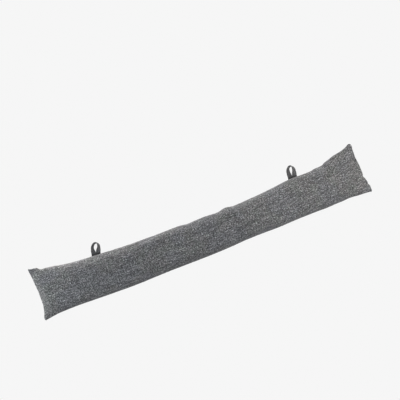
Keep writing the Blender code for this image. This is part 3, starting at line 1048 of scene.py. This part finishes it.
def makeTapeCloth(s):
    material, tree, shader = newMaterial("tape")
    cloth = addNode(tree, "ShaderNodeUVMap", uv_map="cloth").outputs[0]
    x, y = splitCloth(tree, cloth)
    fromMiddle = mathNode(tree, "ABSOLUTE", mathNode(tree, "SUBTRACT", y, uvMargin))
    chevron = joinCloth(tree, mathNode(tree, "ADD", x, fromMiddle), y)
    pitches = {"Weft_pitch": s["yarn"], "Warp_pitch": s["rib"]}
    woven = useGroup(tree, weave, chevron, Slubs=s["slubs"], Fuzz=s["fuzz"], **pitches)
    yarn = dashes(tree, chevron, s["rib"], s["yarn"], s["yarnContrast"])
    long = dashes(tree, cloth, *s["long"])
    slow = useGroup(tree, cloud, cloth, Scale=s["cloudScale"], Strength=s["cloudStrength"])["Cloud"]
    inner, outer = s["selvedge"] - s["selvedgeStep"], s["selvedge"] + s["selvedgeStep"]
    edge = steps(tree, fromMiddle, inner, outer)
    edgeShade = mathNode(tree, "MULTIPLY_ADD", edge, -s["selvedgeShade"], 1.0)
    gaps = mathNode(tree, "MULTIPLY_ADD", woven["Height"], s["gapShade"], s["gapTone"])
    # painted shade: within a short length of the seam the tape is made darker, standing for the seam's shadow
    # on the loops' feet
    fromEnd = addNode(tree, "ShaderNodeAttribute", attribute_type="GEOMETRY", attribute_name="fromEnd")
    outsideFootShade = steps(tree, fromEnd.outputs["Fac"], 0.0, s["footShadeLength"])
    paleYarnAndFootShade = mathNode(tree, "MULTIPLY_ADD", outsideFootShade, 1.0 - s["footShadeTone"], s["footShadeTone"])
    tone = product(tree, yarn["Tone"], long["Tone"], slow, edgeShade, gaps, paleYarnAndFootShade)
    colour = toned(tree, mixColour(tree, yarn["Tint"], s["colour"], s["paleYarnAndFootShade"]), tone)
    height = mathNode(tree, "MULTIPLY_ADD", edge, s["selvedgeRise"], woven["Height"])
    finishCloth(tree, shader, colour, height, s)
    return material


tweedCloth = makeTweed(tweed)
tapeCloth = makeTapeCloth(tapeWeave)

bolster.data.materials.append(tweedCloth)
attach(bolster, "root")
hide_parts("bolster")

for name, (piece, length) in loops.items():
    piece.data.materials.append(tapeCloth)
    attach(piece, "root")
    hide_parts(name)
print("materials and frame done")


# Studio: a pale floor, darker beside the fold, where it would lie in shade, and a soft even light all
# round. Three low strips beside the sewn edge shine upwards, two soft lights hang over the right end and
# one over the left end, one stands low at the left, one hangs over the fold's side, and the key light
# comes from the right.

studio = {
    "pale": 0.921,
    "floorSize": 12.0,
    "floorLevel": -0.0002,
    "floorShade": (0.12, 0.60),  # beside the fold and beside the sewn edge
    "shadeTurn": 0.03,  # the shade changes over this far to either side of the middle
    "world": 0.47,
    "worldColour": (0.982, 0.995, 1.025),
    # place, what it points at, size, power and colour
    "lights": {
        "stripSewn": ((0.0, 0.17, 0.002), (0.0, 0.17, 1.0), (1.0, 0.14), 1.93, (1.0, 0.99, 1.0)),
        "stripSewnLeft": ((-0.16, 0.17, 0.0021), (-0.16, 0.17, 1.0), (0.24, 0.14), 0.50, (1.0, 0.93, 0.91)),
        "stripSewnEnd": ((-0.42, 0.17, 0.0022), (-0.42, 0.17, 1.0), (0.22, 0.14), 1.45, (1.0, 0.93, 0.91)),
        "overRight": ((0.42, 0.04, 0.56), (0.36, 0.0, 0.05), (0.40, 0.30), 1.12, (1.0, 0.985, 0.955)),
        "overRightEnd": ((0.62, 0.05, 0.45), (0.42, 0.0, 0.03), (0.30, 0.30), 1.06, (1.0, 0.935, 0.86)),
        "overLeftEnd": ((-0.60, 0.28, 0.40), (-0.38, 0.0, 0.03), (0.25, 0.25), 1.05, (0.90, 0.945, 1.0)),
        "lowLeft": ((-0.95, 0.02, 0.12), (-0.44, 0.0, 0.02), (0.30, 0.12), 2.6, (0.95, 1.0, 1.0)),
        "overFold": ((0.2, -1.0, 1.5), (0.0, 0.0, 0.0), (0.9, 0.6), 9.6, (0.925, 0.96, 1.0)),
        "key": ((2.0, 0.35, 0.62), (0.0, 0.0, 0.0), (0.6, 0.5), 5.0, (1.0, 0.91, 0.86)),
    },
}


def shownPlain(tree, lit, kind, pale, output):
    # what lights the object stays as it is, and the camera sees one plain pale tone in its place
    plain = feed(tree, addNode(tree, kind), Color=(pale, pale, pale, 1.0), Strength=1.0)
    seen = addNode(tree, "ShaderNodeLightPath").outputs["Is Camera Ray"]
    both = addNode(tree, "ShaderNodeMixShader")
    feed(tree, both, i0=seen, i1=lit.outputs[0], i2=plain.outputs[0])
    tree.links.new(both.outputs[0], tree.nodes[output].inputs["Surface"])


def makeStudio(s):
    bpy.ops.mesh.primitive_plane_add(size=s["floorSize"], location=(0.0, 0.0, s["floorLevel"]))
    floor = bpy.context.object
    floor.name = "studioFloor"
    material, tree, shader = newMaterial("paleFloor")
    x, y = splitCloth(tree, addNode(tree, "ShaderNodeTexCoord").outputs["Object"])
    shade = addNode(tree, "ShaderNodeMapRange")
    foldShade, sewnShade = s["floorShade"]
    feed(tree, shade, Value=y, From_Min=-s["shadeTurn"], From_Max=s["shadeTurn"])
    feed(tree, shade, To_Min=foldShade, To_Max=sewnShade)
    feed(tree, shader, Base_Color=shade.outputs[0], Roughness=1.0, Specular_IOR_Level=0.0)
    shownPlain(tree, shader, "ShaderNodeEmission", s["pale"], "Material Output")
    floor.data.materials.append(material)

    world = bpy.data.worlds.new("studio")
    world.use_nodes = True
    scene.world = world
    around = world.node_tree.nodes["Background"]
    feed(world.node_tree, around, Color=(*s["worldColour"], 1.0), Strength=s["world"])
    shownPlain(world.node_tree, around, "ShaderNodeBackground", s["pale"], "World Output")

    for name, (place, target, size, power, colour) in s["lights"].items():
        data = bpy.data.lights.new(name, "AREA")
        data.shape = "RECTANGLE"
        data.size, data.size_y = size
        data.energy = power
        data.color = colour
        light = bpy.data.objects.new(name, data)
        scene.collection.objects.link(light)
        light.location = place
        light.rotation_euler = (Vector(place) - Vector(target)).to_track_quat("Z", "Y").to_euler()
        light.visible_camera = False
    scene.view_settings.view_transform = "Standard"


makeStudio(studio)
print("studio lit")
